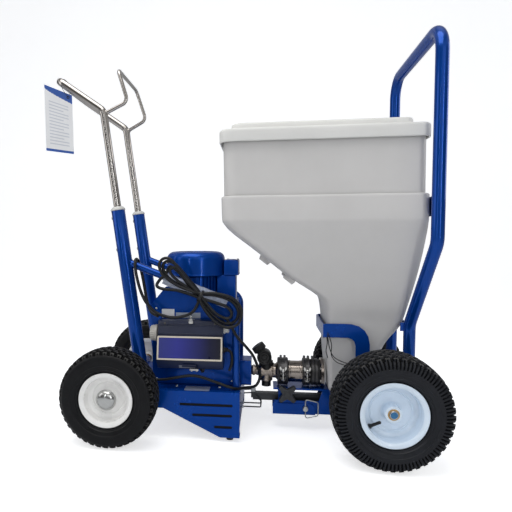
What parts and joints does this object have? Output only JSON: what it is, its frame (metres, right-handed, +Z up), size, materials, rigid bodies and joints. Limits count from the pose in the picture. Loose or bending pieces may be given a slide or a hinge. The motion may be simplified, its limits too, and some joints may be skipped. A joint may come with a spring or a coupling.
{
  "type": "hopper-fed sprayer cart",
  "caption": "Hopper-fed sprayer on hitched carts: a tapered lidded hopper feeds a motor-driven piston pump through a clamped suction line, pushed by a telescoping chrome handle.",
  "frame": {"origin": "on the ground, at the centre of the whole machine's footprint", "axes": "+X forward towards the hopper and the larger wheels, +Y to the machine's left (away from the control box), +Z up; the machine's frame itself stands 1.6 degrees nose up"},
  "size_m": [1.3402, 0.6758, 1.3305],
  "materials": {
    "tyre_rubber": "satin black rubber",
    "rim_white": "gloss white enamel",
    "blue_paint": "gloss blue enamel",
    "housing_blue": "gloss blue enamel",
    "dark_box": "semi-gloss dark navy enamel",
    "chrome": "polished",
    "black_plastic": "moulded, fine grain",
    "knob_grey": "moulded, fine grain",
    "cable_black": "satin",
    "rubber_black": "matte",
    "steel": "machined",
    "bright_steel": "brushed",
    "bronze": "cast, lightly worn",
    "valve_metal": "cast, dark",
    "fan_plastic": "moulded",
    "tag_card": "printed card with plain bands",
    "hopper_plastic": "translucent natural polyethylene"
  },
  "bodies": {
    "chassis": {"wheel_bushes": "bronze", "rear_axle": "steel", "front_axle": "steel", "axle_caps": "chrome", "rear_deck": "blue_paint", "deck_feet": "rubber_black", "lower_handle_tubes": "blue_paint", "handle_collars": "black_plastic", "brace_tubes": "blue_paint", "drive_housing": "housing_blue", "drive_cover": "blue_paint", "motor_case": "blue_paint", "fan_cover": "blue_paint", "terminal_box": "blue_paint", "shaft_bearings": "steel", "pump_cylinder": "steel", "pump_manifold": "blue_paint", "inlet_tee": "bronze", "drain_plug": "bronze", "valve_body": "valve_metal", "reducer": "bronze", "inlet_pipe": "bright_steel", "pipe_clamps": "bright_steel", "rubber_sleeve": "rubber_black", "outlet_flange": "bright_steel", "control_box": "dark_box", "pan_head_screws": "bright_steel", "cables": "cable_black", "tongue_bar": "blue_paint", "front_frame": "blue_paint", "hoop_frame": "blue_paint", "neck_bracket": "blue_paint", "hopper_bin": "hopper_plastic"},
    "front_right_wheel": {"front_right_tyre": "tyre_rubber", "front_right_rim": "rim_white"},
    "front_left_wheel": {"front_left_tyre": "tyre_rubber", "front_left_rim": "rim_white"},
    "rear_right_wheel": {"rear_right_tyre": "tyre_rubber", "rear_right_rim": "rim_white"},
    "rear_left_wheel": {"rear_left_tyre": "tyre_rubber", "rear_left_rim": "rim_white"},
    "handle": {"upper_handle": "chrome", "hang_tag": "tag_card"},
    "extension": {"hopper_extension": "hopper_plastic"},
    "lid": {"hopper_lid": "hopper_plastic"},
    "star": {"star_knob": "knob_grey"},
    "pin": {"hitch_pin": "bright_steel"},
    "ring": {"snap_ring": "bright_steel"},
    "rear_wing": {"rear_wing_screw": "bright_steel"},
    "front_wing": {"front_wing_screw": "bright_steel"},
    "pressure": {"pressure_knob": "knob_grey"},
    "toggle": {"power_toggle": "black_plastic"},
    "valve": {"valve_knob": "black_plastic"},
    "crank": {"crankshaft": "steel", "drive_gear": "steel"},
    "rotor": {"motor_rotor": "steel", "cooling_fan": "fan_plastic", "pinion": "steel"},
    "piston": {"piston_rod": "steel"},
    "conrod": {"connecting_rod": "steel"}
  },
  "joints": [
    {"name": "front_right_wheel_spin", "type": "hinge", "parent": "chassis", "child": "front_right_wheel", "pos_m": [0.49407, -0.2669, 0.176], "axis": [0, 1, 0], "continuous": true},
    {"name": "front_left_wheel_spin", "type": "hinge", "parent": "chassis", "child": "front_left_wheel", "pos_m": [0.49407, 0.2669, 0.176], "axis": [0, 1, 0], "continuous": true},
    {"name": "rear_right_wheel_spin", "type": "hinge", "parent": "chassis", "child": "rear_right_wheel", "pos_m": [-0.38072, -0.2753, 0.16], "axis": [0, 1, 0], "continuous": true},
    {"name": "rear_left_wheel_spin", "type": "hinge", "parent": "chassis", "child": "rear_left_wheel", "pos_m": [-0.38072, 0.2753, 0.16], "axis": [0, 1, 0], "continuous": true},
    {"name": "handle_slide", "type": "slide", "parent": "chassis", "child": "handle", "axis": [-0.163, 0, 0.9866], "range_m": [-0.2, 0]},
    {"name": "extension_lift", "type": "slide", "parent": "chassis", "child": "extension", "axis": [-0.0277, 0, 0.9996], "range_m": [0, 0.1]},
    {"name": "lid_lift", "type": "slide", "parent": "extension", "child": "lid", "axis": [-0.0277, 0, 0.9996], "range_m": [0, 0.12]},
    {"name": "star_knob_turn", "type": "hinge", "parent": "chassis", "child": "star", "pos_m": [0.19951, -0.055, 0.13422], "axis": [0, 1, 0], "range_deg": [0, 360]},
    {"name": "pin_pull", "type": "slide", "parent": "chassis", "child": "pin", "axis": [0, -1, 0], "range_m": [0, 0.12]},
    {"name": "ring_swing", "type": "hinge", "parent": "pin", "child": "ring", "pos_m": [0.26493, -0.052, 0.08401], "axis": [-0.0277, 0, 0.9996], "range_deg": [-90, 0]},
    {"name": "rear_wing_turn", "type": "hinge", "parent": "chassis", "child": "rear_wing", "pos_m": [0.18259, -0.064, 0.20328], "axis": [-0.0277, 0, 0.9996], "range_deg": [-180, 180]},
    {"name": "front_wing_turn", "type": "hinge", "parent": "chassis", "child": "front_wing", "pos_m": [0.26606, -0.064, 0.20559], "axis": [-0.0277, 0, 0.9996], "range_deg": [-180, 180]},
    {"name": "pressure_knob_turn", "type": "hinge", "parent": "chassis", "child": "pressure", "pos_m": [-0.26766, -0.146, 0.35036], "axis": [0.9996, 0, 0.0277], "range_deg": [0, 270]},
    {"name": "power_toggle_tilt", "type": "hinge", "parent": "chassis", "child": "toggle", "pos_m": [-0.14087, -0.131, 0.39589], "axis": [0.9996, 0, 0.0277], "range_deg": [-12, 12]},
    {"name": "valve_knob_turn", "type": "hinge", "parent": "chassis", "child": "valve", "pos_m": [0.11507, -0.032, 0.25743], "axis": [0, 1, 0], "range_deg": [0, 90]},
    {"name": "crank_spin", "type": "hinge", "parent": "chassis", "child": "crank", "pos_m": [-0.20813, 0, 0.29599], "axis": [-0.0277, 0, 0.9996], "continuous": true},
    {"name": "motor_spin", "type": "hinge", "parent": "chassis", "child": "rotor", "pos_m": [-0.1437, 0, 0.49785], "axis": [-0.0277, 0, 0.9996], "continuous": true},
    {"name": "piston_slide", "type": "slide", "parent": "chassis", "child": "piston", "axis": [0.9996, 0, 0.0277], "range_m": [-0.05, 0]},
    {"name": "conrod_swing", "type": "hinge", "parent": "piston", "child": "conrod", "pos_m": [-0.0903, 0, 0.19571], "axis": [-0.0277, 0, 0.9996], "range_deg": [-16, 16]}
  ],
  "couplings": [
    {"joint": "motor_spin", "follows": "crank_spin", "ratio": -4}
  ]
}
